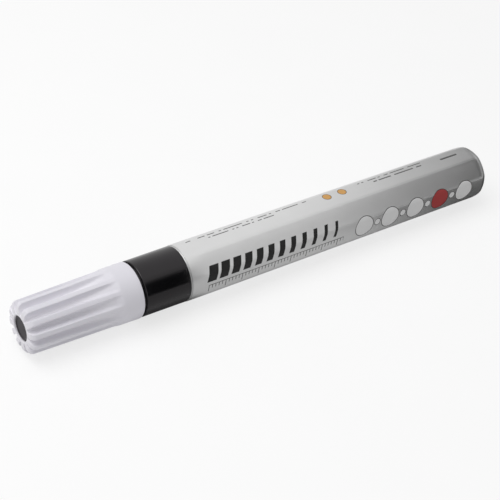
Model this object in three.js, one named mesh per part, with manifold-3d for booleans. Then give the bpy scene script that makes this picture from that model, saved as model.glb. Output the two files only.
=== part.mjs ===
// A valve-action paint marker, lying on one flat of its octagonal barrel with the cap on.
// Sizes are in millimetres. X runs along the pen: the closed end of the cap is at -X and
// the closed end of the barrel at +X. Z is up. The origin is under the middle of the pen,
// on the surface that it lies on.
// Places along the pen are measured from the cap's seat, the front face of the collar:
// they are negative in the cap and positive in the barrel.
import * as THREE from "three";
import { mergeVertices } from "three/addons/utils/BufferGeometryUtils.js";
import Module from "manifold-3d";

// Lengths along the pen
const capLength = 29.4;
const collarLength = 13.0;
const barrelLength = 97.5;
const spigotLength = 8.0;
const neckLength = 6.5;
const nozzleLength = 10.5;
const nibReach = 4.0;

// Clearances
const faceGap = 0.05;
const seatClearance = 0.05;
const slideClearance = 0.12;
const capClearance = 0.07;
const looseClearance = 0.15;

// Barrel and label
const acrossFlats = 14.6;
const flats = 8;
const cornerRadius = 1.8;
const labelThickness = 0.12;
const bareLip = 0.9;
const mouthInset = 0.02;
const mouthBlend = 7.0;
const mouthChamfer = 0.3;
const rearEdgeRadius = 1.9;
const rearWall = 1.2;
const rearDishRadius = 3.6;
const rearDishDepth = 0.4;
const boreRadius = 6.5;

// Cap
const capMouthRadius = 7.2;
const capEndRadius = 6.48;
const capRibs = 12;
const ribTopAngle = 11;
const fluteShoulder = 0.58;
const fluteDepth = 1.75;
const bandLength = 5.5;
const capEndEdge = 1.4;
const capMouthEdge = 0.3;
const capEndWall = 2.0;
const capSeatDepth = 7.0;
const capSeatRamp = 0.6;
const capThroatRadius = 5.7;
const plugRadius = 3.15;
const plugThickness = 1.1;
const plugRecess = 0.3;
const plugEdge = 0.15;

// Cup inside the cap that seals on the nozzle
const linerWall = 0.85;
const linerFloor = 0.6;
const linerOverlap = 2.5;
const linerEdge = 0.3;

// Nib and its holder
const nibRadius = 1.6;
const nozzleTipRadius = 2.9;
const nozzleRootRadius = 4.2;
const nozzleTipLength = 3.5;
const nozzleEdge = 0.3;
const neckRadius = 5.95;
const neckEdge = 0.35;
const snapBead = 0.13;
const snapBeadPlace = 3.2;
const snapBeadWidth = 0.3;
const collarFrontRadius = 7.12;
const collarRearRadius = 7.2;
const collarEdge = 0.55;
const spigotClearance = 0.15;
const spigotEdge = 0.4;
const chamberRadius = 2.6;
const chamberFront = 3.0;
const chamberRear = 3.0;
const holderBoreRadius = 4.7;

// Gasket between the holder and the barrel
const gasketWidth = 1.4;
const gasketPlace = 1.8;
const gasketDepth = 0.7;

// Valve
const valveTravel = 1.8;
const seatWall = 1.2;
const seatHoleRadius = 1.5;
const valveBodyLength = 4.4;
const valveBodyBore = 3.6;
const sealRadius = 2.55;
const sealThickness = 0.8;
const stemRadius = 1.0;
const flangeRadius = 2.75;
const flangeThickness = 1.2;
const cageWall = 0.55;
const cageInsert = 1.2;
const cageLength = 10.7;
const cageFloor = 1.0;
const cageHoleRadius = 1.3;
const cageWindows = 3;
const cageWindowWidth = 2.0;
const cageWindowLength = 5.0;
const springRadius = 1.9;
const springWire = 0.22;
const springCurls = 7;
const springClearance = 0.1;

// Mixing balls
const ballRadius = 2.4;
const ballSpacing = 5.2;
const ballPlaces = [38, 79];

// Facets
const roundSides = 40;
const flatSteps = 4;
const cornerSteps = 3;
const edgeSteps = 3;
const blendSteps = 4;
const fluteSteps = 3;
const domeSteps = 5;
const wireSides = 5;
const curlSteps = 8;
const ballSides = 16;

// Places along the pen that follow from the sizes above
const axisHeight = acrossFlats / 2;
const capMouth = -faceGap;
const capEnd = capMouth - capLength;
const barrelFront = collarLength + faceGap;
const barrelRear = barrelFront + barrelLength;
const penMiddle = (capEnd + barrelRear) / 2;
const spigotRear = collarLength + spigotLength;
const nozzleFront = -(neckLength + nozzleLength);
const nibTip = nozzleFront - nibReach;
const capFloor = capEnd + capEndWall;
const linerFront = capFloor + faceGap;
const linerRear = nozzleFront + linerOverlap;
const sealFront = chamberRear + seatWall + 2 * faceGap;
const flangeFront = sealFront + sealThickness + faceGap;
const flangeRear = flangeFront + flangeThickness;
const valveBodyFront = chamberRear + faceGap;
const cageFront = valveBodyFront + valveBodyLength - cageInsert;
const cageRear = cageFront + cageLength;
const cageFloorFront = cageRear - cageFloor;

const degrees = Math.PI / 180;
const tiny = 1e-9;

const wasm = await Module();
wasm.setup();

// Points [x, r] along a quarter circle or any other arc, angles in degrees from +x towards +r
function arc(x, r, radius, from, to, steps = edgeSteps) {
  const points = [];
  for (let i = 0; i <= steps; i += 1) {
    const angle = (from + ((to - from) * i) / steps) * degrees;
    points.push([x + radius * Math.cos(angle), r + radius * Math.sin(angle)]);
  }
  return points;
}

// A turned piece: the profile [x, r] runs to +X on its outside
function turned(profile) {
  const points = profile.map(([x, r]) => new THREE.Vector2(r, x));
  return new THREE.LatheGeometry(points, roundSides).rotateZ(-Math.PI / 2);
}

// A turned ring or tube, whose profile closes on itself
function turnedTube(profile) {
  return turned([...profile, profile[0]]);
}

// One ring of a skin: a point for each angle, at the radius that radiusAt gives
function ringOf(x, angles, radiusAt) {
  return angles.map((angle) => {
    const radius = radiusAt(angle);
    return [x, radius * Math.cos(angle), radius * Math.sin(angle)];
  });
}

// A skin over rings with the same number of points, listed to +X on the outside.
// A tube closes on itself, and any other skin is closed by a flat fan at each end.
function skin(rings, isTube) {
  const around = rings[0].length;
  const positions = rings.flat(2);
  const faces = [];
  const bands = isTube ? rings.length : rings.length - 1;
  for (let i = 0; i < bands; i += 1) {
    const near = i * around;
    const far = ((i + 1) % rings.length) * around;
    for (let j = 0; j < around; j += 1) {
      const next = (j + 1) % around;
      faces.push(near + j, near + next, far + j);
      faces.push(near + next, far + next, far + j);
    }
  }
  if (!isTube) {
    const first = positions.length / 3;
    positions.push(rings[0][0][0], 0, 0);
    positions.push(rings.at(-1)[0][0], 0, 0);
    const lastRing = (rings.length - 1) * around;
    for (let j = 0; j < around; j += 1) {
      const next = (j + 1) % around;
      faces.push(first, next, j);
      faces.push(first + 1, lastRing + j, lastRing + next);
    }
  }
  const geometry = new THREE.BufferGeometry();
  geometry.setAttribute("position", new THREE.Float32BufferAttribute(positions, 3));
  geometry.setIndex(faces);
  geometry.computeVertexNormals();
  return geometry;
}

// A closed geometry as a solid that can be cut
function solidOf(geometry) {
  const bare = geometry.clone();
  bare.deleteAttribute("normal");
  bare.deleteAttribute("uv");
  const merged = mergeVertices(bare);
  const mesh = new wasm.Mesh({
    numProp: 3,
    vertProperties: merged.attributes.position.array,
    triVerts: new Uint32Array(merged.index.array),
  });
  return new wasm.Manifold(mesh);
}

function geometryOf(solid) {
  const mesh = solid.getMesh();
  const geometry = new THREE.BufferGeometry();
  geometry.setAttribute("position", new THREE.BufferAttribute(mesh.vertProperties, 3));
  geometry.setIndex(new THREE.BufferAttribute(mesh.triVerts, 1));
  geometry.computeVertexNormals();
  return geometry;
}

function piece(name, geometry, color, roughness, metalness = 0) {
  const material = new THREE.MeshStandardMaterial({ color, roughness, metalness });
  const mesh = new THREE.Mesh(geometry, material);
  mesh.name = name;
  return mesh;
}

// The angles of the points round the barrel: some on each flat and some on each corner
function barrelAngles() {
  const pitch = 360 / flats;
  const halfFlat = Math.tan((pitch / 2) * degrees) * (acrossFlats / 2 - cornerRadius);
  const flatEnd = Math.atan2(halfFlat, acrossFlats / 2) / degrees;
  const angles = [];
  for (let side = 0; side < flats; side += 1) {
    for (let i = 0; i < flatSteps; i += 1) {
      angles.push(side * pitch - flatEnd + (2 * flatEnd * i) / flatSteps);
    }
    for (let i = 0; i < cornerSteps; i += 1) {
      angles.push(side * pitch + flatEnd + ((pitch - 2 * flatEnd) * i) / cornerSteps);
    }
  }
  return angles.map((angle) => angle * degrees);
}

// Distance from the axis to the outline of the rounded octagon, drawn in by the inset
function octagonRadius(angle, inset) {
  const pitch = (2 * Math.PI) / flats;
  const apothem = acrossFlats / 2 - inset;
  const corner = cornerRadius - inset;
  const fromFlat = Math.abs(angle - Math.round(angle / pitch) * pitch);
  const centre = (apothem - corner) / Math.cos(pitch / 2);
  const flatEnd = Math.atan2((apothem - corner) * Math.tan(pitch / 2), apothem);
  if (fromFlat <= flatEnd + tiny) return apothem / Math.cos(fromFlat);
  const fromCorner = pitch / 2 - fromFlat;
  const side = centre * Math.sin(fromCorner);
  return centre * Math.cos(fromCorner) + Math.sqrt(corner * corner - side * side);
}

// The outline is a circle at the barrel's mouth and turns into the octagon over mouthBlend
function outlineRadius(angle, fromFront, inset) {
  const share = Math.min(Math.max(fromFront / mouthBlend, 0), 1);
  const eased = share * share * (3 - 2 * share);
  const round = acrossFlats / 2 - mouthInset - inset;
  return round + (octagonRadius(angle, inset) - round) * eased;
}

// Stations over the mouth's blend, as distances from the barrel's front
function blendStations(from) {
  const stations = [];
  for (let i = 0; i <= blendSteps; i += 1) {
    stations.push(from + ((mouthBlend - from) * i) / blendSteps);
  }
  return stations;
}

// Closed aluminium tube with a round bore; its rear end has a rounded edge and a shallow dish
function makeBarrel() {
  const angles = barrelAngles();
  const inset = labelThickness + seatClearance;
  const outer = (fromFront, extra) =>
    ringOf(barrelFront + fromFront, angles, (a) => outlineRadius(a, fromFront, inset) - extra);
  const round = (x, radius) => ringOf(x, angles, () => radius);
  const rings = [
    round(barrelRear - rearWall, boreRadius),
    round(barrelFront, boreRadius),
    outer(0, mouthChamfer),
    ...blendStations(mouthChamfer).map((station) => outer(station, 0)),
  ];
  for (const [back, drawnIn] of arc(0, 0, rearEdgeRadius, 90, 0)) {
    rings.push(outer(barrelLength - rearEdgeRadius + back, rearEdgeRadius - drawnIn));
  }
  rings.push(round(barrelRear, rearDishRadius));
  rings.push(round(barrelRear - rearDishDepth, rearDishRadius - rearDishDepth));
  return piece("barrel", skin(rings, false), 0xb4b5b7, 0.35, 1);
}

// Printed wrap round the barrel, from behind the bare lip to the rounded rear edge
function makeLabel() {
  const angles = barrelAngles();
  const at = (fromFront, inset) =>
    ringOf(barrelFront + fromFront, angles, (a) => outlineRadius(a, fromFront, inset));
  const stations = [...blendStations(bareLip), barrelLength - rearEdgeRadius];
  const outside = stations.map((station) => at(station, 0));
  const inside = stations.map((station) => at(station, labelThickness)).reverse();
  return piece("label", skin([...outside, ...inside], true), 0xc4c4c6, 0.55, 0.2);
}

// Angles round the cap: the middle of each rib, and five points over each flute
function capAngles() {
  const pitch = 360 / capRibs;
  const fluteHalf = (pitch - ribTopAngle) / 2;
  const shoulder = fluteShoulder * fluteHalf;
  const over = [-pitch / 2, -fluteHalf, -shoulder, 0, shoulder, fluteHalf];
  const angles = [];
  for (let flute = 0; flute < capRibs; flute += 1) {
    for (const offset of over) angles.push((flute * pitch + offset) * degrees);
  }
  return angles;
}

// Outer radius of the cap at a distance from its closed end: tapered, fluted, rounded at the end
function capRadius(angle, fromEnd) {
  const taper = (capMouthRadius - capEndRadius) / capLength;
  const crest = capEndRadius + taper * fromEnd;
  const pitch = (2 * Math.PI) / capRibs;
  const fluteHalf = (pitch - ribTopAngle * degrees) / 2;
  const offset = (angle - Math.round(angle / pitch) * pitch) / fluteHalf;
  const cut = Math.max(1 - offset * offset, 0);
  const depth = fluteDepth * Math.max(1 - fromEnd / (capLength - bandLength), 0);
  const short = Math.max(capEndEdge - fromEnd, 0);
  const drawnIn = capEndEdge - Math.sqrt(capEndEdge * capEndEdge - short * short);
  return Math.min(crest - depth * cut, crest - drawnIn);
}

// Fluted cap: closed end with a recess for the plug, stepped bore for the liner and the neck
function makeCapShell() {
  const angles = capAngles();
  const outer = (fromEnd, extra = 0) =>
    ringOf(capEnd + fromEnd, angles, (a) => capRadius(a, fromEnd) - extra);
  const round = (x, radius) => ringOf(x, angles, () => radius);
  const recessRadius = plugRadius + seatClearance;
  const recessFloor = capEnd + plugRecess + plugThickness + faceGap;
  const boreMouth = neckRadius + snapBead + capClearance;
  const linerSeat = plugRadius + linerWall;
  const rings = [round(recessFloor, recessRadius), round(capEnd, recessRadius)];
  for (const [back] of arc(0, 0, capEndEdge, 180, 90)) rings.push(outer(capEndEdge + back));
  const fluteLength = capLength - bandLength;
  for (let i = 1; i <= fluteSteps; i += 1) {
    rings.push(outer(capEndEdge + ((fluteLength - capEndEdge) * i) / fluteSteps));
  }
  rings.push(outer(capLength - capMouthEdge), outer(capLength, capMouthEdge));
  rings.push(
    round(capMouth, boreMouth + capMouthEdge),
    round(capMouth - capMouthEdge, boreMouth),
    round(capMouth - capSeatDepth, boreMouth),
    round(capMouth - capSeatDepth - capSeatRamp, capThroatRadius),
    round(linerRear, linerSeat + seatClearance + capSeatRamp),
    round(linerRear - capSeatRamp, linerSeat + seatClearance),
    round(capFloor, linerSeat + seatClearance),
  );
  return piece("cap_shell", skin(rings, false), 0xe4e3e8, 0.5);
}

// Coloured disc pressed into the closed end of the cap
function makeCapPlug() {
  const front = capEnd + plugRecess;
  return piece(
    "cap_plug",
    turned([
      [front, 0],
      [front, plugRadius - plugEdge],
      [front + plugEdge, plugRadius],
      [front + plugThickness, plugRadius],
      [front + plugThickness, 0],
    ]),
    0x4a494d,
    0.45,
  );
}

// Cup inside the cap that closes over the nozzle and keeps the nib wet
function makeCapLiner() {
  const outside = plugRadius + linerWall;
  const inside = nozzleTipRadius + slideClearance + seatClearance;
  return piece(
    "cap_liner",
    turned([
      [linerFront, 0],
      [linerFront, outside - linerEdge],
      [linerFront + linerEdge, outside],
      [linerRear - capSeatRamp, outside],
      [linerRear - linerEdge, outside - linerEdge],
      [linerRear, inside + linerEdge],
      [linerRear - linerEdge, inside],
      [linerFront + linerFloor, inside],
      [linerFront + linerFloor, 0],
    ]),
    0xf2f1ec,
    0.6,
  );
}

// Front moulding in one piece: nozzle, neck that the cap snaps on, collar and spigot
function makeNibHolder() {
  const nibBore = nibRadius + slideClearance;
  const beadFront = -snapBeadPlace - snapBeadWidth / 2;
  const beadRear = -snapBeadPlace + snapBeadWidth / 2;
  const spigotRadius = boreRadius - spigotClearance;
  const grooveFront = collarLength + gasketPlace;
  const grooveRear = grooveFront + gasketWidth + 2 * faceGap;
  const grooveRadius = spigotRadius - gasketDepth;
  return piece(
    "nib_holder",
    turnedTube([
      [nozzleFront, nibBore],
      [nozzleFront, nozzleTipRadius - nozzleEdge],
      [nozzleFront + nozzleEdge, nozzleTipRadius],
      [nozzleFront + nozzleTipLength, nozzleTipRadius],
      [-neckLength, nozzleRootRadius],
      [-neckLength, neckRadius - neckEdge],
      [-neckLength + neckEdge, neckRadius],
      [beadFront - snapBead, neckRadius],
      [beadFront, neckRadius + snapBead],
      [beadRear, neckRadius + snapBead],
      [beadRear + snapBead, neckRadius],
      [0, neckRadius],
      ...arc(collarEdge, collarFrontRadius - collarEdge, collarEdge, 180, 90),
      [collarLength, collarRearRadius],
      [collarLength, spigotRadius],
      [grooveFront, spigotRadius],
      [grooveFront, grooveRadius],
      [grooveRear, grooveRadius],
      [grooveRear, spigotRadius],
      [spigotRear - spigotEdge, spigotRadius],
      [spigotRear, spigotRadius - spigotEdge],
      [spigotRear, holderBoreRadius],
      [chamberRear, holderBoreRadius],
      [chamberRear, chamberRadius],
      [-chamberFront, chamberRadius],
      [-chamberFront, nibBore],
    ]),
    0x1b1a1c,
    0.22,
  );
}

// Rubber ring in the spigot's groove, which seals the holder in the barrel
function makeBarrelGasket() {
  const front = collarLength + gasketPlace + faceGap;
  const rear = front + gasketWidth;
  const inner = boreRadius - spigotClearance - gasketDepth + seatClearance;
  const outer = boreRadius - seatClearance;
  const edge = (outer - inner) / 4;
  return piece(
    "barrel_gasket",
    turnedTube([
      [front, inner],
      [front, outer - edge],
      [front + edge, outer],
      [rear - edge, outer],
      [rear, outer - edge],
      [rear, inner],
    ]),
    0x2a2a2a,
    0.85,
  );
}

// Fibre nib with a domed tip; its rear end stands on the valve stem
function makeNib() {
  return piece(
    "nib",
    turned([
      ...arc(nibTip + nibRadius, 0, nibRadius, 180, 90, domeSteps),
      [-faceGap, nibRadius],
      [-faceGap, 0],
    ]),
    0xe9e6dc,
    0.95,
  );
}

// Valve body, pressed into the holder's bore: a wall with the seat's hole, and a skirt
function makeValveBody() {
  const front = valveBodyFront;
  const rear = front + valveBodyLength;
  const outer = holderBoreRadius - seatClearance;
  return piece(
    "valve_body",
    turnedTube([
      [front, seatHoleRadius],
      [front, outer],
      [rear, outer],
      [rear, valveBodyBore],
      [front + seatWall, valveBodyBore],
      [front + seatWall, seatHoleRadius],
    ]),
    0xd9d9dc,
    0.5,
  );
}

// Rubber washer on the stem, which closes the seat's hole
function makeValveSeal() {
  const inner = stemRadius + seatClearance;
  return piece(
    "valve_seal",
    turnedTube([
      [sealFront, inner],
      [sealFront, sealRadius],
      [sealFront + sealThickness, sealRadius],
      [sealFront + sealThickness, inner],
    ]),
    0x333336,
    0.85,
  );
}

// Stem that the nib pushes back: its flange backs the washer and its tail guides the spring
function makeValveStem() {
  const tailEnd = cageFloorFront - valveTravel - looseClearance;
  return piece(
    "valve_stem",
    turned([
      [faceGap, 0],
      [faceGap, stemRadius],
      [flangeFront, stemRadius],
      [flangeFront, flangeRadius],
      [flangeRear, flangeRadius],
      [flangeRear, stemRadius],
      [tailEnd, stemRadius],
      [tailEnd, 0],
    ]),
    0xe8e8ea,
    0.5,
  );
}

// Slotted cup behind the valve that holds the spring and lets the paint in
function makeSpringCage() {
  const outer = valveBodyBore - seatClearance;
  const inner = outer - cageWall;
  const cup = turnedTube([
    [cageFront, inner],
    [cageFront, outer],
    [cageRear, outer],
    [cageRear, cageHoleRadius],
    [cageFloorFront, cageHoleRadius],
    [cageFloorFront, inner],
  ]);
  let solid = solidOf(cup);
  const windowMiddle = cageFloorFront - looseClearance - cageWindowLength / 2;
  for (let i = 0; i < cageWindows; i += 1) {
    const cutter = new THREE.BoxGeometry(cageWindowLength, cageWindowWidth, 2 * outer);
    cutter.translate(windowMiddle, 0, outer);
    cutter.rotateX((2 * Math.PI * i) / cageWindows);
    solid = solid.subtract(solidOf(cutter));
  }
  return piece("spring_cage", geometryOf(solid), 0xdededf, 0.5);
}

// Coil spring between the stem's flange and the cage's floor
function makeValveSpring() {
  const start = flangeRear + springClearance + springWire;
  const end = cageFloorFront - springClearance - springWire;
  class Helix extends THREE.Curve {
    getPoint(t, target = new THREE.Vector3()) {
      const turn = 2 * Math.PI * springCurls * t;
      const x = start + (end - start) * t;
      return target.set(x, springRadius * Math.cos(turn), springRadius * Math.sin(turn));
    }
  }
  const section = new THREE.Shape();
  for (let i = 0; i < wireSides; i += 1) {
    const angle = (2 * Math.PI * i) / wireSides;
    const [across, along] = [springWire * Math.cos(angle), springWire * Math.sin(angle)];
    if (i === 0) section.moveTo(across, along);
    else section.lineTo(across, along);
  }
  section.closePath();
  const geometry = new THREE.ExtrudeGeometry(section, {
    steps: springCurls * curlSteps,
    extrudePath: new Helix(),
  });
  return piece("valve_spring", geometry, 0xa9abae, 0.3, 1);
}

// Steel balls that lie side by side at the bottom of the bore and stir the paint
function makeMixingBall(index) {
  const side = (index - (ballPlaces.length - 1) / 2) * ballSpacing;
  const orbit = boreRadius - ballRadius - looseClearance;
  const drop = Math.sqrt(orbit * orbit - side * side);
  const geometry = new THREE.SphereGeometry(ballRadius, ballSides, ballSides / 2);
  const ball = piece("mixing_ball_" + (index + 1), geometry, 0xb9bbbe, 0.15, 1);
  ball.position.set(ballPlaces[index], side, -drop);
  return ball;
}

const cap = new THREE.Group();
cap.add(makeCapShell(), makeCapPlug(), makeCapLiner());

const body = new THREE.Group();
body.add(makeBarrel(), makeLabel(), makeNibHolder(), makeBarrelGasket());

const valve = new THREE.Group();
valve.add(makeNib(), makeValveStem(), makeValveSeal());
valve.add(makeValveBody(), makeSpringCage(), makeValveSpring());

const balls = new THREE.Group();
for (const index of ballPlaces.keys()) balls.add(makeMixingBall(index));

const marker = new THREE.Group();
marker.add(cap, body, valve, balls);
marker.position.set(-penMiddle, 0, axisHeight);

const part = new THREE.Group();
part.add(marker);
export default part;
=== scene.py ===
import math

import bpy
from mathutils import Matrix, Vector


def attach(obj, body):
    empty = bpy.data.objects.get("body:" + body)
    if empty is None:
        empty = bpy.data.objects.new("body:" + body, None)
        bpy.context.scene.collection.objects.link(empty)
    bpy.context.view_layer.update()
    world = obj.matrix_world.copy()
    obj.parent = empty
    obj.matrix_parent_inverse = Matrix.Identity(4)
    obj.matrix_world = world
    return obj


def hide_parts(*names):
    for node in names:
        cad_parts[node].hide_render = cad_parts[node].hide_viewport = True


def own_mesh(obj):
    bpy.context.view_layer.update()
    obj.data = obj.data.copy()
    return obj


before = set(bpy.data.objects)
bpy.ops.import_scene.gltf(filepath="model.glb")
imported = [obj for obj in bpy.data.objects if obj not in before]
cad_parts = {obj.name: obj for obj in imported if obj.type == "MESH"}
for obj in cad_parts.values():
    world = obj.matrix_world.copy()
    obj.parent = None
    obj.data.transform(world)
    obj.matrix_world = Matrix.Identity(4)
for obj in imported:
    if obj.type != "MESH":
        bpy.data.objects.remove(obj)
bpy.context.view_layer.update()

MM = 0.001
AXIS = 7.3

# Places along the pen
CAP_END = -70.0
CAP_MOUTH = -40.6
COLLAR_FRONT = -40.55
COLLAR_REAR = -27.55
BARREL_FRONT = -27.5
BARREL_REAR = 70.0
NOZZLE_FRONT = -57.55
NIB_TIP = -61.55
NECK_FRONT = -47.05
SPIGOT_REAR = -19.55

# Barrel and label
ACROSS_FLATS = 14.6
FLATS = 8
CORNER_RADIUS = 1.1
FACET_CROWN = 0.30
LABEL_THICKNESS = 0.07
LABEL_CLEARANCE = 0.01
BARE_LIP = 0.45
MOUTH_INSET = 0.02
MOUTH_BLEND = 7.0
MOUTH_EDGE = 0.2
LABEL_REAR = 69.88
REAR_EDGE_LENGTH = 2.74
REAR_EDGE_DEPTH = 0.95
REAR_BLEND = 9.3
REAR_ROUND_SHARE = 0.5
REAR_WALL = 1.2
DISH_RADIUS = 3.6
DISH_DEPTH = 0.4
BORE_RADIUS = 6.5

# Outside of the cap
CAP_LENGTH = 29.4
CAP_MOUTH_RADIUS = 7.2
CREST_AT_END = 6.53
CREST_TAPER = 0.0178
CREST_SOFTNESS = 0.004
CREST_SOFTNESS_AT_END = 0.04
CAP_RIBS = 12
POINTS_PER_RIB = 24
RIB_TOP_AT_END = 13.0
RIB_TOP_AT_BAND = 8.0
FLUTE_TURN = -1.5
FLUTE_DEPTH = 1.95
FLUTE_FADE = 3.0
FLUTE_SHAPE = 3.5
NOTCH_DEPTH = 0.95
NOTCH_LENGTH = 2.2
BAND_LENGTH = 5.3
BAND_RADIUS = 7.13
BAND_RISE = 2.0
BAND_RISE_MARGIN = 0.6
NOSE_LENGTH = 1.27
NOSE_DEPTH = 1.62
NOSE_SOFTNESS = 0.01
CAP_MOUTH_EDGE = 0.3

# Inside of the cap
PLUG_RADIUS = 3.2
PLUG_RECESS = 0.4
PLUG_THICKNESS = 1.1
PLUG_EDGE = 0.15
PLUG_CLEARANCE = 0.05
PLUG_DIMPLE = ((0.12, 0.75), (0.03, 0.62), (0.0, 0.5))
RECESS_EDGE = 0.15
RECESS_EDGE_TURNS = (0.5, 1.0, math.pi / 2)
CAP_FLOOR_DEPTH = 2.0
NECK_BORE = 6.15
NECK_BORE_DEPTH = 7.0
NECK_BORE_LEAD = ((0.0, 0.3), (0.08, 0.13), (0.3, 0.0))
THROAT_RADIUS = 5.7
THROAT_DEPTH = 7.6
LINER_SEAT = 4.05
LINER_SEAT_LEAD = 0.6
LINER_RADIUS = 4.0
LINER_BORE = 3.07
LINER_GAP = 0.05
LINER_EDGE = 0.3
LINER_FLOOR = 0.6
LINER_LIP = 0.6
LINER_LIP_ARC = 0.25
LINER_OVERLAP = 2.5

# Nib holder and nib
NOZZLE_RADIUS = 2.9
NOZZLE_EDGE = 0.3
NOZZLE_LENGTH = 3.5
CONE_REAR = 4.165
CONE_END = 0.35
CONE_FILLET = 0.3
CONE_FILLET_FOOT = 4.45
NECK_RADIUS = 5.95
NECK_EDGE = 0.35
BEAD_TO_COLLAR = 3.2
BEAD_SECTION = ((-0.32, 0.0), (-0.15, 0.11), (0.0, 0.13), (0.15, 0.11), (0.32, 0.0))
COLLAR_RADIUS = 7.2
COLLAR_FRONT_RADIUS = 7.12
COLLAR_FRONT_EDGE = 0.22
COLLAR_GROOVE = 6.6
COLLAR_GROOVE_WIDTH = 0.62
COLLAR_GROOVE_EDGE = 0.1
COLLAR_BEVEL = 0.12
SPIGOT_RADIUS = 6.35
SPIGOT_BEVEL = 0.4
GASKET_FRONT = 1.8
GASKET_WIDTH = 1.5
GASKET_SEAT = 5.65
VALVE_BORE = 4.7
STEM_BORE = 2.6
BORE_STEP = 3.0
NIB_BORE = 1.72
NIB_RADIUS = 1.6
NIB_GAP = 0.05
NIB_WEAR = 4

# Valve spring, between the stem's flange and the floor of its cage
FLANGE_REAR = -34.2
CAGE_FLOOR = -24.6
SPRING_RADIUS = 1.9
SPRING_WIRE = 0.22
SPRING_GAP = 0.1
SPRING_CURLS = 7
CLOSED_CURLS = 0.9
CLOSED_PITCH = 2.15

# The label's print. Places are along the pen, and round it from the middle of the flat that
# faces up and forwards. Each row of dashes gives where it starts and ends, its middle, its
# width, the length of a cell and its seed. Over the rounded rear edge the film's colour darkens:
# painted shade.
MAP_SPAN = 200
PRINT_START = -22.5
DISC_PITCH = 8.8
DISC_ROW = 5.0
RED_DISC = 3
REAR_EDGE_SHADE = (68.3, 69.2)
DASH_ROWS = (
    (-24.0, 13.0, -8.0, 0.3, 0.7, 3),
    (-18.0, 2.0, -6.9, 0.3, 0.6, 17),
    (30.0, 52.0, -7.9, 0.3, 0.7, 29),
    (34.0, 52.0, -6.7, 0.4, 0.6, 41),
    (57.5, 64.0, -6.4, 0.6, 0.55, 53),
    (-22.0, 40.0, -12.6, 0.16, 0.9, 61),
    (-22.0, 52.0, -14.0, 0.16, 0.8, 73),
    (-22.0, 47.0, -15.4, 0.16, 0.9, 89),
)
DASH_SHARE = 0.72


# Meshes

def place_name(piece, body, slot, *replaced):
    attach(piece, body)
    if replaced:
        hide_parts(*replaced)
    return piece


def add_object(name, data):
    thing = bpy.data.objects.new(name, data)
    bpy.context.scene.collection.objects.link(thing)
    return thing


def ring(x, angles, radius_at):
    """Points round the pen at x, each at the radius that radius_at gives for its angle."""
    points = []
    for angle in angles:
        radius = radius_at(angle)
        points.append((x, radius * math.cos(angle), AXIS + radius * math.sin(angle)))
    return points


def circle(x, angles, radius):
    return ring(x, angles, lambda angle: radius)


def skin(name, rings, is_tube=False, sharp=32.0):
    """Closed mesh over rings listed to +X on the outside; a tube closes on itself."""
    count = len(rings[0])
    points = [[c * MM for c in point] for one in rings for point in one]
    faces = []
    for i in range(len(rings) if is_tube else len(rings) - 1):
        near = i * count
        far = (i + 1) % len(rings) * count
        for j in range(count):
            k = (j + 1) % count
            faces.append((near + j, near + k, far + k, far + j))
    if not is_tube:
        last = (len(rings) - 1) * count
        faces.append(tuple(reversed(range(count))))
        faces.append(tuple(range(last, last + count)))
    mesh = bpy.data.meshes.new(name)
    mesh.from_pydata(points, [], faces)
    mesh.polygons.foreach_set("use_smooth", [True] * len(mesh.polygons))
    mesh.set_sharp_from_angle(angle=math.radians(sharp))
    mesh.update()
    return add_object(name, mesh)


def circle_angles(count):
    return [2 * math.pi * i / count for i in range(count)]


def lathe(name, profile, is_tube=False, sides=96):
    """Turned mesh from a profile of (x, radius) that runs to +X on its outside."""
    angles = circle_angles(sides)
    return skin(name, [circle(x, angles, radius) for x, radius in profile], is_tube)


def arc(x, r, radius, start, end, steps=6):
    """Profile points on an arc, angles in degrees from +x towards +r."""
    points = []
    for i in range(steps + 1):
        angle = math.radians(start + (end - start) * i / steps)
        points.append((x + radius * math.cos(angle), r + radius * math.sin(angle)))
    return points


def stations(start, end, steps):
    return [start + (end - start) * i / steps for i in range(steps + 1)]


def smooth(share):
    return share * share * (3 - 2 * share)


def clamp(share):
    return min(max(share, 0), 1)


def barrel_angles(on_flat=10, on_corner=7):
    """Angles round the octagon, closer together on its rounded corners."""
    pitch = 360 / FLATS
    half = math.tan(math.radians(pitch / 2)) * (ACROSS_FLATS / 2 - CORNER_RADIUS)
    flat_end = math.degrees(math.atan2(half, ACROSS_FLATS / 2))
    angles = []
    for side in range(FLATS):
        for i in range(on_flat):
            angles.append(side * pitch - flat_end + 2 * flat_end * i / on_flat)
        for i in range(on_corner):
            angles.append(side * pitch + flat_end + (pitch - 2 * flat_end) * i / on_corner)
    return [math.radians(angle) for angle in angles]


def octagon_radius(angle, inset):
    """Rounded octagon with slightly crowned flats, drawn in by the inset."""
    pitch = 2 * math.pi / FLATS
    apothem = ACROSS_FLATS / 2 - inset
    corner = CORNER_RADIUS - inset
    from_flat = abs(angle - round(angle / pitch) * pitch)
    centre = (apothem - corner) / math.cos(pitch / 2)
    flat_end = math.atan2((apothem - corner) * math.tan(pitch / 2), apothem)
    if from_flat <= flat_end + 1e-9:
        radius = apothem / math.cos(from_flat)
    else:
        from_corner = pitch / 2 - from_flat
        side = centre * math.sin(from_corner)
        radius = centre * math.cos(from_corner) + math.sqrt(corner * corner - side * side)
    return radius - FACET_CROWN * (from_flat / (pitch / 2)) ** 2


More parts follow.
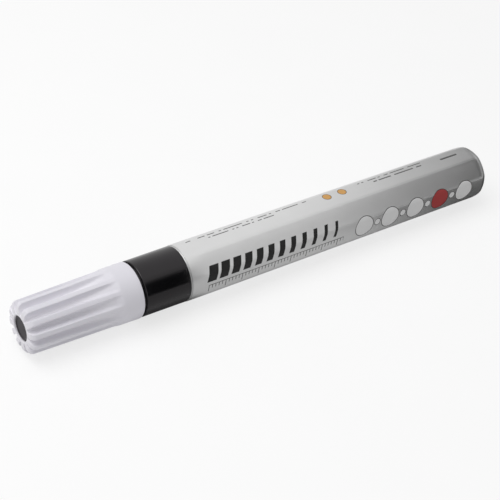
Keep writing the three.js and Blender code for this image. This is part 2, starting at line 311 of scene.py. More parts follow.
def outline_radius(angle, from_front, inset):
    """The barrel's outline: a circle at its mouth, the octagon along its length, and a
    rounder shape with a soft edge at its rear."""
    eased = smooth(clamp(from_front / MOUTH_BLEND))
    round_mouth = ACROSS_FLATS / 2 - MOUTH_INSET - inset
    radius = round_mouth + (octagon_radius(angle, inset) - round_mouth) * eased
    from_rear = max(BARREL_REAR - BARREL_FRONT - from_front, 0)
    roundness = REAR_ROUND_SHARE * max(1 - from_rear / REAR_BLEND, 0) ** 2
    radius += (ACROSS_FLATS / 2 - inset - radius) * roundness
    into_edge = max(1 - from_rear / REAR_EDGE_LENGTH, 0)
    return radius - REAR_EDGE_DEPTH * (1 - math.sqrt(1 - into_edge ** 2))


def barrel_ring(angles, from_front, inset):
    return ring(BARREL_FRONT + from_front, angles,
                lambda angle: outline_radius(angle, from_front, inset))


def make_barrel():
    angles = barrel_angles()
    inset = LABEL_THICKNESS + LABEL_CLEARANCE
    length = BARREL_REAR - BARREL_FRONT
    blend = length - REAR_BLEND
    edge = length - REAR_EDGE_LENGTH
    rings = [circle(BARREL_REAR - REAR_WALL, angles, BORE_RADIUS)]
    rings += [circle(BARREL_FRONT, angles, BORE_RADIUS)]
    for back, out in arc(0, 0, MOUTH_EDGE, 180, 90):
        place = MOUTH_EDGE + back
        rings.append(ring(
            BARREL_FRONT + place, angles,
            lambda angle: outline_radius(angle, place, inset) - (MOUTH_EDGE - out),
        ))
    places = stations(MOUTH_EDGE, MOUTH_BLEND, 16)[1:]
    places += stations(MOUTH_BLEND, blend, 24)[1:]
    places += stations(blend, edge, 12)[1:-1]
    places += [edge + back for back, _ in arc(0, 0, REAR_EDGE_LENGTH, 90, 0, 16)]
    rings += [barrel_ring(angles, place, inset) for place in places]
    for back, out in arc(0, 0, DISH_DEPTH, 90, 180, 5):
        rings.append(circle(BARREL_REAR - DISH_DEPTH + out, angles, DISH_RADIUS + back))
    piece = skin("barrel_tube", rings)
    return place_name(piece, "root", "barrel_aluminium", "barrel")


def distances_round(angles):
    """How far round the octagon each angle lies, and the whole way round as the last."""
    turned = angles + [angles[0] + 2 * math.pi]
    full = [octagon_radius(angle, 0) for angle in angles] + [octagon_radius(angles[0], 0)]
    points = [
        Vector((radius * math.cos(angle), radius * math.sin(angle)))
        for radius, angle in zip(full, turned)
    ]
    girth = [0.0]
    for near, far in zip(points, points[1:]):
        girth.append(girth[-1] + (far - near).length)
    return girth


def make_label():
    """The printed wrap. Its print map holds the place along the pen and round it."""
    angles = barrel_angles()
    length = BARREL_REAR - BARREL_FRONT
    blend = length - REAR_BLEND
    edge = length - REAR_EDGE_LENGTH
    places = stations(BARE_LIP, MOUTH_BLEND, 14)
    places += stations(MOUTH_BLEND, blend, 40)[1:]
    places += stations(blend, edge, 12)[1:]
    last = math.degrees(math.acos(1 - (BARREL_REAR - LABEL_REAR) / REAR_EDGE_LENGTH))
    places += [edge + back for back, _ in arc(0, 0, REAR_EDGE_LENGTH, 90, last, 16)[1:]]
    rings = [barrel_ring(angles, place, 0) for place in places]
    rings += [barrel_ring(angles, place, LABEL_THICKNESS) for place in reversed(places)]
    piece = skin("label_wrap", rings, is_tube=True)

    mesh = piece.data
    print_map = mesh.uv_layers.new(name="print")
    count = len(angles)
    girth = distances_round(angles)
    whole = girth[-1]
    start = whole * angles[0] / (2 * math.pi) - whole * 3 / FLATS
    for polygon in mesh.polygons:
        columns = [vertex % count for vertex in polygon.vertices]
        crosses_start = max(columns) - min(columns) > 1
        for vertex, column, loop in zip(polygon.vertices, columns, polygon.loop_indices):
            across = start + (whole if crosses_start and column == 0 else girth[column])
            x = mesh.vertices[vertex].co.x / MM
            print_map.data[loop].uv = (x / MAP_SPAN + 0.5, across / MAP_SPAN + 0.5)
    return place_name(piece, "root", "label_film", "label")


def cap_radius(angle, from_end):
    """Outside of the cap: tapered, with flutes that run out before the smooth band."""
    band_start = CAP_LENGTH - BAND_LENGTH
    fluted = CREST_AT_END + CREST_TAPER * from_end
    band_slope = (CAP_MOUTH_RADIUS - BAND_RADIUS) / BAND_LENGTH
    band = BAND_RADIUS + band_slope * (from_end - band_start)
    crest = fluted + (band - fluted) * smooth(clamp(1 + (from_end - band_start) / BAND_RISE))
    along = min(from_end / band_start, 1)
    rib_top = RIB_TOP_AT_END + (RIB_TOP_AT_BAND - RIB_TOP_AT_END) * along
    pitch = 2 * math.pi / CAP_RIBS
    half = (pitch - math.radians(rib_top)) / 2
    turned = angle - math.radians(FLUTE_TURN)
    offset = (turned - round(turned / pitch) * pitch) / half
    inside = 1 - abs(offset) ** FLUTE_SHAPE
    softness = CREST_SOFTNESS + CREST_SOFTNESS_AT_END * (1 - along) ** 3
    cut = (inside + math.sqrt(inside * inside + softness)) / 2
    depth = FLUTE_DEPTH * (1 - along ** FLUTE_FADE)
    depth += NOTCH_DEPTH * max(1 - from_end / NOTCH_LENGTH, 0) ** 2
    short = max(1 - from_end / NOSE_LENGTH, 0)
    drawn_in = NOSE_DEPTH * (1 - math.sqrt(1 - short ** 2))
    gap = depth * cut - drawn_in
    blend = math.sqrt(gap * gap + NOSE_SOFTNESS * min(short, 0.5))
    return crest - (depth * cut + drawn_in + blend) / 2


def make_cap_shell():
    """Fluted shell, from the recess for its plug over its outside to its bores."""
    angles = circle_angles(CAP_RIBS * POINTS_PER_RIB)

    def outer(from_end, extra=0.0):
        return ring(CAP_END + from_end, angles, lambda angle: cap_radius(angle, from_end) - extra)

    recess = PLUG_RADIUS + PLUG_CLEARANCE
    recess_front = CAP_END + RECESS_EDGE
    recess_floor = CAP_END + PLUG_RECESS + PLUG_THICKNESS + PLUG_CLEARANCE
    rings = [circle(recess_floor, angles, recess), circle(recess_front, angles, recess)]
    for turn in RECESS_EDGE_TURNS:
        forward = RECESS_EDGE * math.sin(turn)
        outward = RECESS_EDGE - RECESS_EDGE * math.cos(turn)
        rings.append(circle(recess_front - forward, angles, recess + outward))

    flute_length = CAP_LENGTH - BAND_LENGTH
    rise_start = flute_length - BAND_RISE
    rise_end = flute_length + BAND_RISE_MARGIN
    edge = CAP_LENGTH - CAP_MOUTH_EDGE
    places = [NOSE_LENGTH + back for back, _ in arc(0, 0, NOSE_LENGTH, 180, 90, 16)]
    places += stations(NOSE_LENGTH, rise_start, 36)[1:]
    places += stations(rise_start, rise_end, 10)[1:]
    places += stations(rise_end, edge, 4)[1:]
    rings += [outer(place) for place in places]
    for back, out in arc(0, 0, CAP_MOUTH_EDGE, 90, 0, 5)[1:]:
        rings.append(outer(edge + back, CAP_MOUTH_EDGE - out))

    liner_rear = NOZZLE_FRONT + LINER_OVERLAP
    for into, outward in NECK_BORE_LEAD:
        rings.append(circle(CAP_MOUTH - into, angles, NECK_BORE + outward))
    rings += [
        circle(CAP_MOUTH - NECK_BORE_DEPTH, angles, NECK_BORE),
        circle(CAP_MOUTH - THROAT_DEPTH, angles, THROAT_RADIUS),
        circle(liner_rear, angles, LINER_SEAT + LINER_SEAT_LEAD),
        circle(liner_rear - LINER_SEAT_LEAD, angles, LINER_SEAT),
        circle(CAP_END + CAP_FLOOR_DEPTH, angles, LINER_SEAT),
    ]
    piece = skin("cap_fluted", rings, sharp=40.0)
    return place_name(piece, "cap", "cap_plastic", "cap_shell")


def make_cap_plug():
    front = CAP_END + PLUG_RECESS
    profile = [(front + into, PLUG_RADIUS - inward) for into, inward in PLUG_DIMPLE]
    profile += arc(front + PLUG_EDGE, PLUG_RADIUS - PLUG_EDGE, PLUG_EDGE, 180, 90, 5)
    profile += [(front + PLUG_THICKNESS, PLUG_RADIUS)]
    piece = lathe("cap_plug_disc", profile)
    return place_name(piece, "cap", "plug_plastic", "cap_plug")


def make_cap_liner():
    """Cup with a rounded lip that seals on the nozzle."""
    front = CAP_END + CAP_FLOOR_DEPTH + LINER_GAP
    rear = NOZZLE_FRONT + LINER_OVERLAP
    middle = (LINER_RADIUS + LINER_BORE) / 2
    lip = rear - LINER_LIP_ARC
    profile = [(front, LINER_RADIUS - LINER_EDGE)]
    profile += arc(front + LINER_EDGE, LINER_RADIUS - LINER_EDGE, LINER_EDGE, 180, 90, 4)[1:]
    profile += [(rear - LINER_LIP, LINER_RADIUS)]
    profile += arc(lip, middle, LINER_RADIUS - middle, 60, 0, 4)
    profile += arc(lip, middle, middle - LINER_BORE, 0, -90, 4)[1:]
    profile += [(front + LINER_FLOOR, LINER_BORE)]
    piece = lathe("cap_liner_cup", profile)
    return place_name(piece, "cap", "liner_plastic", "cap_liner")


def make_nib_holder():
    """Nozzle, neck with its snap bead, glossy collar and the spigot, turned in one piece."""
    nozzle_edge = NOZZLE_RADIUS - NOZZLE_EDGE
    profile = [(NOZZLE_FRONT, NIB_BORE)]
    profile += arc(NOZZLE_FRONT + NOZZLE_EDGE, nozzle_edge, NOZZLE_EDGE, 180, 90)
    profile += [(NOZZLE_FRONT + NOZZLE_LENGTH, NOZZLE_RADIUS), (NECK_FRONT - CONE_END, CONE_REAR)]
    profile += arc(NECK_FRONT - CONE_FILLET, CONE_FILLET_FOOT, CONE_FILLET, -90, 0, 4)[1:]
    profile += arc(NECK_FRONT + NECK_EDGE, NECK_RADIUS - NECK_EDGE, NECK_EDGE, 180, 90)
    for along, out in BEAD_SECTION:
        profile.append((COLLAR_FRONT - BEAD_TO_COLLAR + along, NECK_RADIUS + out))
    profile += [(COLLAR_FRONT, NECK_RADIUS)]

    groove_rear = COLLAR_FRONT + COLLAR_GROOVE_WIDTH
    edge = COLLAR_FRONT_RADIUS - COLLAR_FRONT_EDGE
    profile += [(COLLAR_FRONT, COLLAR_GROOVE - COLLAR_GROOVE_EDGE)]
    profile += [(COLLAR_FRONT + COLLAR_GROOVE_EDGE, COLLAR_GROOVE), (groove_rear, COLLAR_GROOVE)]
    profile += arc(groove_rear + COLLAR_FRONT_EDGE, edge, COLLAR_FRONT_EDGE, 180, 90)
    profile += [(COLLAR_REAR - COLLAR_BEVEL, COLLAR_RADIUS)]
    profile += [(COLLAR_REAR, COLLAR_RADIUS - COLLAR_BEVEL)]

    seat_front = COLLAR_REAR + GASKET_FRONT
    seat_rear = seat_front + GASKET_WIDTH
    profile += [(COLLAR_REAR, SPIGOT_RADIUS), (seat_front, SPIGOT_RADIUS)]
    profile += [(seat_front, GASKET_SEAT), (seat_rear, GASKET_SEAT), (seat_rear, SPIGOT_RADIUS)]
    profile += [(SPIGOT_REAR - SPIGOT_BEVEL, SPIGOT_RADIUS)]
    profile += [(SPIGOT_REAR, SPIGOT_RADIUS - SPIGOT_BEVEL), (SPIGOT_REAR, VALVE_BORE)]
    profile += [(COLLAR_FRONT + BORE_STEP, VALVE_BORE), (COLLAR_FRONT + BORE_STEP, STEM_BORE)]
    profile += [(COLLAR_FRONT - BORE_STEP, STEM_BORE), (COLLAR_FRONT - BORE_STEP, NIB_BORE)]
    piece = lathe("nib_holder_moulding", profile, is_tube=True, sides=192)
    return place_name(piece, "root", "holder_plastic", "nib_holder")


def make_nib():
    """Fibre nib with a domed tip whose very end is worn nearly flat."""
    profile = arc(NIB_TIP + NIB_RADIUS, 0, NIB_RADIUS, 180 - NIB_WEAR, 90, 12)
    profile += [(COLLAR_FRONT - NIB_GAP, NIB_RADIUS)]
    piece = lathe("nib_fibre_tip", profile, sides=72)
    return place_name(piece, "nib_valve", "nib_fibre", "nib")


def make_spring():
    """Coil of round wire with a closed curl at each end, built at one length; on the pen it
    shortens as the nib is pressed.
    """
    start = FLANGE_REAR + SPRING_GAP + SPRING_WIRE
    end = CAGE_FLOOR - SPRING_GAP - SPRING_WIRE
    closed = CLOSED_CURLS * CLOSED_PITCH * SPRING_WIRE
    steps = SPRING_CURLS * 28
    wire_angles = circle_angles(12)
    nearby = 0.01

    def along(curl):
        """Place along the pen after that many curls."""
        if curl < CLOSED_CURLS:
            return start + closed * curl / CLOSED_CURLS
        if curl > SPRING_CURLS - CLOSED_CURLS:
            return end - closed * (SPRING_CURLS - curl) / CLOSED_CURLS
        share = (curl - CLOSED_CURLS) / (SPRING_CURLS - 2 * CLOSED_CURLS)
        return start + closed + (end - start - 2 * closed) * share

    rings = []
    for i in range(steps + 1):
        curl = i * SPRING_CURLS / steps
        turn = 2 * math.pi * curl
        outward = Vector((0, math.cos(turn), math.sin(turn)))
        centre = Vector((along(curl), 0, AXIS)) + outward * SPRING_RADIUS
        round_it = Vector((0, -math.sin(turn), math.cos(turn)))
        rise = (along(curl + nearby) - along(curl - nearby)) / (2 * nearby)
        path = (round_it * 2 * math.pi * SPRING_RADIUS + Vector((rise, 0, 0))).normalized()
        side = path.cross(outward)
        rings.append([
            tuple(centre + (outward * math.cos(a) + side * math.sin(a)) * SPRING_WIRE)
            for a in wire_angles
        ])
    piece = skin("valve_spring_coil", rings)
    place_name(piece, "root", "spring_steel", "valve_spring")
    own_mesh(piece)
    return piece


# Materials

class Graph:
    """Adds nodes to the empty node tree of a new material or world, and joins them."""

    def __init__(self, owner, end="ShaderNodeOutputMaterial"):
        owner.use_nodes = True
        self.owner = owner
        self.tree = owner.node_tree
        self.tree.nodes.clear()
        self.end = self.add(end)

    def join(self, value, socket):
        if isinstance(value, bpy.types.NodeSocket):
            self.tree.links.new(value, socket)
        else:
            socket.default_value = value

    def add(self, kind, inputs=None, **settings):
        node = self.tree.nodes.new(kind)
        for key, value in settings.items():
            setattr(node, key, value)
        for key, value in (inputs or {}).items():
            self.join(value, node.inputs[key])
        return node

    def math(self, operation, a, b=0.0, c=0.0):
        node = self.add("ShaderNodeMath", operation=operation)
        for socket, value in zip(node.inputs, (a, b, c)):
            self.join(value, socket)
        return node.outputs[0]

    def length(self, a, b):
        squares = self.math("ADD", self.math("MULTIPLY", a, a), self.math("MULTIPLY", b, b))
        return self.math("SQRT", squares)

    def mix(self, factor, a, b):
        node = self.add("ShaderNodeMix", data_type="RGBA")
        for key, value in ((0, factor), (6, a), (7, b)):
            self.join(value, node.inputs[key])
        return node.outputs[2]

    def mix_value(self, factor, a, b):
        node = self.add("ShaderNodeMix", data_type="FLOAT")
        for key, value in ((0, factor), (2, a), (3, b)):
            self.join(value, node.inputs[key])
        return node.outputs[0]

    def object_place(self):
        return self.add("ShaderNodeTexCoord").outputs["Object"]

    def split(self, vector):
        return self.add("ShaderNodeSeparateXYZ", {"Vector": vector}).outputs

    def noise(self, scale, detail=2.0, stretch=(1, 1, 1)):
        """Noise over the object's own frame, in features per metre, drawn out along an axis."""
        mapping = self.add("ShaderNodeMapping", {"Vector": self.object_place(), "Scale": stretch})
        node = self.add("ShaderNodeTexNoise", {
            "Vector": mapping.outputs[0], "Scale": scale, "Detail": detail,
        })
        return node.outputs[0]

    def ramp(self, value, start, end, low=0.0, high=1.0, **settings):
        """Maps start..end to low..high and holds it there beyond them."""
        node = self.add("ShaderNodeMapRange", {
            "Value": value, "From Min": start, "From Max": end, "To Min": low, "To Max": high,
        }, **settings)
        return node.outputs[0]

    def between(self, noise, low, high):
        """Takes a noise value through low..high."""
        return self.ramp(noise, 0.3, 0.7, low, high)

    def drifting(self, noise, colour, shade):
        """Drifts from the colour to the shade with the noise."""
        return self.mix(self.between(noise, 0, 1), colour, shade)

    def bump(self, height, distance, strength=1.0, normal=None):
        node = self.add("ShaderNodeBump", {
            "Height": height, "Distance": distance * MM, "Strength": strength,
        })
        if normal is not None:
            self.join(normal, node.inputs["Normal"])
        return node.outputs[0]

    def surface(self, **inputs):
        """Ends the graph in a surface with these values, and gives its material."""
        node = self.add("ShaderNodeBsdfPrincipled", inputs={
            key.replace("_", " "): value for key, value in inputs.items()
        })
        self.join(node.outputs[0], self.end.inputs["Surface"])
        return self.owner

    def mixed_surface(self, share, first, second):
        """Ends the graph in the first shader, with a share of the second."""
        mixed = self.add("ShaderNodeMixShader", {0: share})
        self.join(first.outputs[0], mixed.inputs[1])
        self.join(second.outputs[0], mixed.inputs[2])
        self.join(mixed.outputs[0], self.end.inputs["Surface"])
        return self.owner


def material_graph(name):
    return Graph(bpy.data.materials.new(name))


def grey(level):
    return (level, level, level, 1.0)


def flute_fill_share(g, ribs=6.5, flutes=4.8):
    """0 at the radius of the cap's ribs and 1 at that of its deepest flutes: the share of painted
    light in the flutes.
    """
    place = g.split(g.object_place())
    radius = g.length(place[1], g.math("SUBTRACT", place[2], AXIS * MM))
    return g.ramp(radius, ribs * MM, flutes * MM)


def moulded_plastic(name, colour, shade, rough, painted_fill=None, **extra):
    """Moulded plastic: soft colour drift, fine grain and a roughness that varies a little.
    Where a painted fill colour is given, it lightens the bottom of the cap's flutes: painted
    light against the shade there."""
    g = material_graph(name)
    flow = g.noise(240, 3, stretch=(0.25, 1, 1))
    normal = g.bump(g.noise(3200), 0.012, 0.6)
    normal = g.bump(flow, 0.02, 0.35, normal)
    base = g.drifting(g.noise(70, 3), colour, shade)
    # Painted light: a lighter colour towards the bottom of the flutes, against their shade.
    if painted_fill:
        base = g.mix(flute_fill_share(g), base, painted_fill)
    return g.surface(
        Base_Color=base,
        Roughness=g.between(flow, rough - 0.04, rough + 0.05),
        Normal=normal,
        **extra,
    )


def glossy_black(name):
    """Black plastic with a polished skin and faint drawing lines along the pen."""
    g = material_graph(name)
    lines = g.noise(900, 3, stretch=(0.03, 1, 1))
    drift = g.noise(120)
    normal = g.bump(lines, 0.036, 0.5)
    normal = g.bump(drift, 0.08, 0.3, normal)
    return g.surface(
        Base_Color=g.drifting(drift, (0.004, 0.004, 0.0045, 1), (0.007, 0.007, 0.008, 1)),
        Roughness=g.between(lines, 0.10, 0.17),
        Specular_IOR_Level=0.42,
        Specular_Tint=(1.0, 0.94, 0.97, 1),
        Normal=normal,
    )


def drawn_aluminium(name):
    """Bare aluminium with fine lines drawn along the tube."""
    g = material_graph(name)
    lines = g.noise(2600, 4, stretch=(0.02, 1, 1))
    return g.surface(
        Base_Color=g.drifting(g.noise(90, 3), grey(0.46), grey(0.52)),
        Metallic=0.7,
        Roughness=g.between(lines, 0.34, 0.44),
        Normal=g.bump(lines, 0.008, 0.6),
    )


def polished_steel(name, level, rough):
    """Bright steel with fine marks, whose dull patches are a little darker."""
    g = material_graph(name)
    marks = g.noise(1800, 3)
    return g.surface(
        Base_Color=g.drifting(g.noise(200), grey(level), grey(level * 0.86)),
        Metallic=1.0,
        Roughness=g.between(marks, rough - 0.04, rough + 0.06),
        Normal=g.bump(marks, 0.004, 0.5),
    )


def soft_rubber(name):
    g = material_graph(name)
    grain = g.noise(2600, 3)
    return g.surface(
        Base_Color=g.drifting(g.noise(160), grey(0.018), grey(0.030)),
        Roughness=g.between(grain, 0.72, 0.9),
        Normal=g.bump(grain, 0.02, 0.7),
    )


def felt_fibre(name):
    """Pressed fibre: pale threads along the nib, with darker gaps between them."""
    g = material_graph(name)
    threads = g.noise(3800, 3, stretch=(0.08, 1, 1))
    clumps = g.noise(900, 3, stretch=(0.3, 1, 1))
    normal = g.bump(threads, 0.06, 0.9)
    return g.surface(
        Base_Color=g.drifting(threads, (0.55, 0.53, 0.48, 1), (0.82, 0.80, 0.74, 1)),
        Roughness=g.between(clumps, 0.85, 0.98),
        Normal=g.bump(clumps, 0.05, 0.5, normal),
    )


class Print:
    """Masks of the label's plain print, from its print map in millimetres."""

    def __init__(self, g):
        self.g = g
        parts = g.split(g.add("ShaderNodeUVMap", uv_map="print").outputs[0])
        self.x = g.math("MULTIPLY_ADD", parts[0], MAP_SPAN, -MAP_SPAN / 2)
        self.s = g.math("MULTIPLY_ADD", parts[1], MAP_SPAN, -MAP_SPAN / 2)

    def inside(self, value, low, high):
        return self.g.math("COMPARE", value, (low + high) / 2, (high - low) / 2)

    def both(self, *masks):
        result = masks[0]
        for mask in masks[1:]:
            result = self.g.math("MULTIPLY", result, mask)
        return result

    def either(self, *masks):
        result = masks[0]
        for mask in masks[1:]:
            result = self.g.math("MAXIMUM", result, mask)
        return result

    def row(self, start, pitch, slant=0.0, middle=0.0):
        """Number of the cell along the pen and the place in it, for a leaning row."""
        g = self.g
        lean = g.math("MULTIPLY", g.math("SUBTRACT", self.s, middle), slant)
        place = g.math("SUBTRACT", g.math("ADD", self.x, lean), start)
        cell = g.math("FLOOR", g.math("DIVIDE", place, pitch))
        return cell, g.math("SUBTRACT", place, g.math("MULTIPLY", cell, pitch))

    def numbered(self, cell, first, last):
        return self.inside(cell, first - 0.5, last + 0.5)

    def bars(self, start, pitch, count, low, high, widest, narrowest, slant):
        """Leaning bars that get narrower along the pen."""
        g = self.g
        cell, place = self.row(start, pitch, slant, (low + high) / 2)
        width = g.math("MULTIPLY_ADD", cell, (narrowest - widest) / (count - 1), widest)
        return self.both(
            g.math("LESS_THAN", place, width),
            self.inside(self.s, low, high),
            self.numbered(cell, 0, count - 1),
        )

    def ticks(self, start, end, pitch, low, high, width, short=0.55):
        """A fine scale: short marks, each fifth of them longer, on a hairline."""
        g = self.g
        cell, place = self.row(start, pitch)
        is_long = g.math("LESS_THAN", g.math("MODULO", g.math("ADD", cell, 0.5), 5), 1)
        height = high - low
        reach = g.math("MULTIPLY_ADD", is_long, height * (1 - short), low + height * short)
        mark = self.both(
            g.math("LESS_THAN", place, width),
            g.math("LESS_THAN", self.s, reach),
            g.math("GREATER_THAN", self.s, low),
        )
        line = self.inside(self.s, low - width / 2, low + width / 2)
        return self.both(self.either(mark, line), self.inside(self.x, start, end))

    def discs(self, start, pitch, count, middle, radius, rim):
        """A row of discs, their rims given by an inner and outer radius, and the cells."""
        g = self.g
        cell, place = self.row(start, pitch)
        across = g.math("SUBTRACT", place, pitch / 2)
        reach = g.length(across, g.math("SUBTRACT", self.s, middle))
        on_row = self.numbered(cell, 0, count - 1)
        filled = self.both(g.math("LESS_THAN", reach, radius), on_row)
        return filled, self.both(self.inside(reach, *rim), on_row), cell

    def dashes(self, start, end, middle, width, cell_length, seed):
        """A thin broken line whose dashes differ in length."""
        g = self.g
        cell, _ = self.row(start, cell_length)
        chance = g.add("ShaderNodeTexWhiteNoise", noise_dimensions="1D")
        g.join(g.math("ADD", cell, seed + 0.5), chance.inputs["W"])
        return self.both(
            g.math("LESS_THAN", chance.outputs["Value"], DASH_SHARE),
            self.inside(self.s, middle - width / 2, middle + width / 2),
            self.inside(self.x, start, end),
        )


def printed_film(name):
    """Satin silver film with a plain print: leaning bars, a fine scale, discs and dashes."""
    g = material_graph(name)
    p = Print(g)
    silver = g.drifting(g.noise(60, 4), grey(0.68), grey(0.72))
    # Painted shade: the film's colour darkens over the rounded rear edge.
    silver = g.mix(g.ramp(p.x, *REAR_EDGE_SHADE), silver, grey(0.16))

    black = p.bars(
        start=PRINT_START, pitch=3.55, count=12, low=0.75, high=4.95,
        widest=2.7, narrowest=0.9, slant=0.28,
    )
    scale = p.ticks(start=PRINT_START, end=19.6, pitch=1.0, low=6.0, high=8.1, width=0.2)
    big, big_rim, cell = p.discs(
        start=22.0, pitch=DISC_PITCH, count=5, middle=DISC_ROW, radius=3.05, rim=(2.88, 3.08),
    )
    small, small_rim, _ = p.discs(
        start=26.4, pitch=DISC_PITCH, count=4, middle=DISC_ROW, radius=1.05, rim=(0.9, 1.07),
    )
    amber, amber_rim, _ = p.discs(
        start=16.6, pitch=5.0, count=2, middle=-7.0, radius=1.25, rim=(1.1, 1.26),
    )
    rim = p.either(big_rim, small_rim)
    red = p.both(big, p.numbered(cell, RED_DISC, RED_DISC))
    white = g.math("SUBTRACT", p.either(big, small), red)
    lines = p.either(*(p.dashes(*row) for row in DASH_ROWS))
    colour = silver
    for mask, ink_colour in (
        (lines, grey(0.10)),
        (scale, grey(0.085)),
        (black, grey(0.012)),
        (white, grey(0.67)),
        (red, (0.36, 0.045, 0.045, 1)),
        (rim, grey(0.05)),
        (amber, (0.62, 0.34, 0.11, 1)),
        (amber_rim, (0.10, 0.07, 0.05, 1)),
    ):
        colour = g.mix(mask, colour, ink_colour)
    ink = p.either(lines, scale, black, white, red, rim, amber)

    film = g.noise(160, 3, stretch=(0.5, 1, 1))
    normal = g.bump(film, 0.05, 0.35)
    normal = g.bump(g.noise(2400), 0.006, 0.5, normal)
    round_it = g.add("ShaderNodeTangent", direction_type="RADIAL", axis="X")
    return g.surface(
        Base_Color=colour,
        Metallic=g.math("MULTIPLY_ADD", ink, -0.85, 0.85),
        Roughness=g.mix_value(ink, g.between(film, 0.28, 0.33), 0.42),
        Specular_IOR_Level=0.25,
        Anisotropic=0.7,
        Tangent=round_it.outputs[0],
        Normal=normal,
    )


def dress(piece, material):
    piece.data.materials.clear()
    piece.data.materials.append(material)


cap_plastic = moulded_plastic(
    "cap_plastic",
    colour=(0.706, 0.694, 0.750, 1),
    shade=(0.741, 0.729, 0.780, 1),
    rough=0.46,
    # Painted light: the lighter colour at the bottom of the flutes.
    painted_fill=(0.838, 0.824, 0.870, 1),
)
plug_plastic = moulded_plastic(
    "plug_plastic",
    colour=(0.020, 0.016, 0.021, 1),
    shade=(0.027, 0.022, 0.028, 1),
    rough=0.42,
    Specular_IOR_Level=0.35,
)
liner_plastic = moulded_plastic(
    "liner_plastic",
    colour=(0.80, 0.79, 0.75, 1),
    shade=(0.86, 0.85, 0.81, 1),
    rough=0.5,
)
valve_plastic = moulded_plastic(
    "valve_plastic",
    colour=(0.68, 0.68, 0.68, 1),
    shade=(0.76, 0.76, 0.75, 1),
    rough=0.5,
)
seal_rubber = soft_rubber("seal_rubber")
ball_steel = polished_steel("ball_steel", 0.62, rough=0.14)

dress(make_cap_shell(), cap_plastic)
dress(make_cap_plug(), plug_plastic)
dress(make_cap_liner(), liner_plastic)
dress(make_barrel(), drawn_aluminium("barrel_aluminium"))
dress(make_label(), printed_film("label_film"))
dress(make_nib_holder(), glossy_black("holder_plastic"))
dress(make_nib(), felt_fibre("nib_fibre"))
dress(make_spring(), polished_steel("spring_steel", 0.55, rough=0.26))
for node, material in (
    ("barrel_gasket", seal_rubber),
    ("valve_seal", seal_rubber),
    ("valve_body", valve_plastic),
    ("valve_stem", valve_plastic),
    ("spring_cage", valve_plastic),
    ("mixing_ball_1", ball_steel),
    ("mixing_ball_2", ball_steel),
):
    dress(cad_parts[node], material)


# Floor, light and camera, in metres

def seen_directly(g):
    """1 for camera, glossy and transmission rays, and 0 for the rays that light things."""
    path = g.add("ShaderNodeLightPath")
    result = path.outputs["Is Camera Ray"]
    for name in ("Is Glossy Ray", "Is Transmission Ray"):
        result = g.math("MAXIMUM", result, path.outputs[name])
    return result


def flat_sheet(name, half_x, half_y, material):
    signs = ((-1, -1), (1, -1), (1, 1), (-1, 1))
    corners = [(x * half_x, y * half_y, 0) for x, y in signs]
    mesh = bpy.data.meshes.new(name)
    mesh.from_pydata(corners, [], [(0, 1, 2, 3)])
    mesh.materials.append(material)
    return add_object(name, mesh)


def facing(place, target):
    """Turn of a lamp or card at a place that faces the target."""
    return (Vector(target) - Vector(place)).to_track_quat("-Z", "Y").to_euler()


def make_floor(reach=3.0, near=0.12, far=0.5):
    """Pale paper that goes over into plain white further from the pen."""
    g = material_graph("floor_paper")
    paper = g.add("ShaderNodeBsdfDiffuse", {
        "Color": g.drifting(g.noise(40, 3), grey(0.93), grey(0.95)),
    })
    white = g.add("ShaderNodeEmission", {"Color": grey(1.0), "Strength": 1.0})
    away = g.add("ShaderNodeVectorMath", {0: g.object_place()}, operation="LENGTH")
    glow = g.ramp(away.outputs["Value"], near, far, 0.72, 1.0, interpolation_type="SMOOTHSTEP")
    share = g.math("MULTIPLY", seen_directly(g), glow)
    floor = flat_sheet("floor", reach, reach, g.mixed_surface(share, paper, white))


def make_flag(name, place, target, size, edge, cover=1.0, hole=None, is_half=False, bow=None):
    """A black card that only glossy surfaces see, with soft edges of the widths given for
    its sides and its ends, or for its sides, top and bottom. A cover below 1 lets some light
    through. A card with a hole, given by its radius and soft width, is a ring, and a half
    ring is the half towards the card's own -X. A bow shears and bends the card sideways by
    a share of its height and of its height squared, from its middle."""
    half_x, half_y = size[0] / 2, size[1] / 2
    reach = half_x
    g = material_graph(name + "_cloth")
    x, y, _ = g.split(g.object_place())
    if bow:
        lean, curve = bow
        reach += lean * half_y + curve * half_y ** 2
        aside = g.math("MULTIPLY", y, g.math("MULTIPLY_ADD", y, curve, lean))
        from_side = g.math("ABSOLUTE", g.math("SUBTRACT", x, aside))
        inward = [
            (g.math("SUBTRACT", half_x, from_side), edge[0]),
            (g.math("SUBTRACT", half_y, y), edge[1]),
            (g.math("ADD", half_y, y), edge[2]),
        ]
    elif hole:
        from_middle = g.length(x, y)
        inward = [
            (g.math("SUBTRACT", half_x, from_middle), edge[0]),
            (g.math("SUBTRACT", from_middle, hole[0]), hole[1]),
        ]
    else:
        inward = [
            (g.math("SUBTRACT", half_x, g.math("ABSOLUTE", x)), edge[0]),
            (g.math("SUBTRACT", half_y, g.math("ABSOLUTE", y)), edge[1]),
        ]
    if is_half:
        inward.append((g.math("MULTIPLY", x, -1), edge[1]))
    for from_edge, width in inward:
        ramp = g.ramp(from_edge, 0.0, width, interpolation_type="SMOOTHSTEP")
        cover = g.math("MULTIPLY", ramp, cover)
    clear = g.add("ShaderNodeBsdfTransparent")
    black = g.add("ShaderNodeEmission", {"Color": grey(0.0), "Strength": 0.0})
    flag = flat_sheet(name, reach, half_y, g.mixed_surface(cover, clear, black))
    flag.location = place
    flag.rotation_euler = facing(place, target)
    for kind in ("camera", "diffuse", "transmission", "volume_scatter", "shadow"):
        setattr(flag, "visible_" + kind, False)


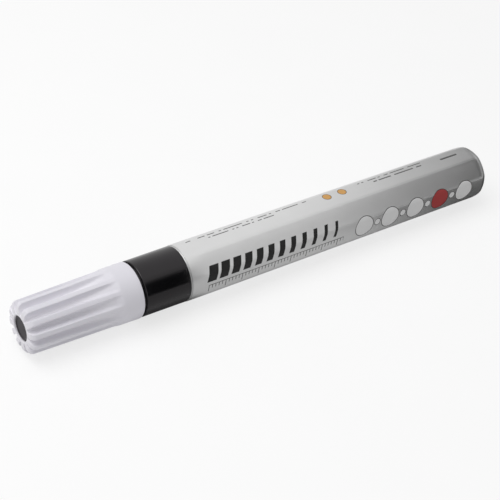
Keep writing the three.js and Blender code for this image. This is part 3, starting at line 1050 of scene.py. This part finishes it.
def make_flags():
    """Cards that stand for the dark things round the pen in the photograph. Those on the floor
    are painted shade: they darken the floor only as glossy surfaces see it, under and in front of
    the pen.
    """
    make_flag(
        "front_flag", place=(0.5, -0.40, 0.40), target=(0.5, 0, 0.40),
        size=(2.4, 1.8), edge=(0.3, 1.3), cover=0.42,
    )
    make_flag(
        "collar_flag", place=(-0.0219, -0.030, 0.0321), target=(-0.0219, 0, 0.0321),
        size=(0.0212, 0.0488), edge=(0.0009, 0.026, 0.0025), bow=(0.30, 5.1),
    )
    make_flag(
        "side_flag", place=(0.38, 0.0, 0.0), target=(-1, 0.0, 0.0),
        size=(1.16, 1.16), edge=(0.22, 0), cover=0.72, hole=(0.17, 0.08),
    )
    make_flag(
        "side_front_flag", place=(0.375, 0.0, 0.0), target=(-1, 0.0, 0.0),
        size=(1.16, 1.16), edge=(0.22, 0.03), cover=0.88, hole=(0.13, 0.08), is_half=True,
    )
    # Painted shade on the floor, seen only by glossy surfaces: the pen's shadow under and in
    # front of it, darker towards its rear.
    for name, x, y, height, size, edge, cover in (
        ("floor_flag", 0.02, -0.14, 0.0006, (0.26, 0.32), (0.02, 0.02), 0.40),
        ("far_floor_flag", 0.075, -0.14, 0.0009, (0.12, 0.32), (0.055, 0.02), 0.92),
        ("strip_flag", 0.028, 0.0, 0.0012, (0.106, 0.018), (0.003, 0.003), 0.3),
        ("contact_flag", -0.032, 0.0, 0.0003, (0.024, 0.022), (0.005, 0.005), 0.8),
    ):
        make_flag(name, (x, y, height), (x, y, 1), size, edge, cover)


def make_world(ambient):
    world = bpy.data.worlds.new("studio")
    bpy.context.scene.world = world
    g = Graph(world, "ShaderNodeOutputWorld")
    light = g.add("ShaderNodeBackground", {"Color": grey(1.0), "Strength": ambient})
    white = g.add("ShaderNodeBackground", {"Color": grey(1.0), "Strength": 1.0})
    g.mixed_surface(seen_directly(g), light, white)


def area_lamp(name, place, target, size, watts):
    data = bpy.data.lights.new(name, "AREA")
    data.shape = "RECTANGLE"
    data.size, data.size_y = size
    data.energy = watts
    lamp = add_object(name, data)
    lamp.location = place
    lamp.rotation_euler = facing(place, target)


def make_camera():
    """The photograph's camera: focal length in pixels of the 500 pixel wide picture,
    angles in degrees, distances in millimetres."""
    focal, azimuth, elevation, roll = 1358.9, -39.84, 38.66, 8.07
    distance, across, up_by = 352.2, 3.311, -3.456
    picture_width, sensor_width = 500, 36
    half_pixel = 0.5 * distance / focal
    across, up_by = across + half_pixel, up_by - half_pixel
    az, el, turn = (math.radians(a) for a in (azimuth, elevation, roll))
    back = Vector((math.sin(az) * math.cos(el), -math.cos(az) * math.cos(el), math.sin(el)))
    flat_right = Vector((math.cos(az), math.sin(az), 0))
    flat_up = back.cross(flat_right)
    right = flat_right * math.cos(turn) + flat_up * math.sin(turn)
    up = flat_up * math.cos(turn) - flat_right * math.sin(turn)
    data = bpy.data.cameras.new("camera")
    data.sensor_fit = "HORIZONTAL"
    data.sensor_width = sensor_width
    data.lens = focal / picture_width * sensor_width
    data.clip_start = 0.01
    camera = add_object("camera", data)
    place = (back * distance - right * across - up * up_by) * MM
    turned = Matrix((right, up, back)).transposed().to_4x4()
    camera.matrix_world = Matrix.Translation(place) @ turned
    bpy.context.scene.camera = camera


make_floor()
make_world(ambient=0.45)
area_lamp("key", place=(-0.16, 0.08, 0.41), target=(-0.01, 0, 0), size=(0.36, 0.36), watts=1.22)
make_flags()
make_camera()
bpy.context.scene.view_settings.view_transform = "Standard"
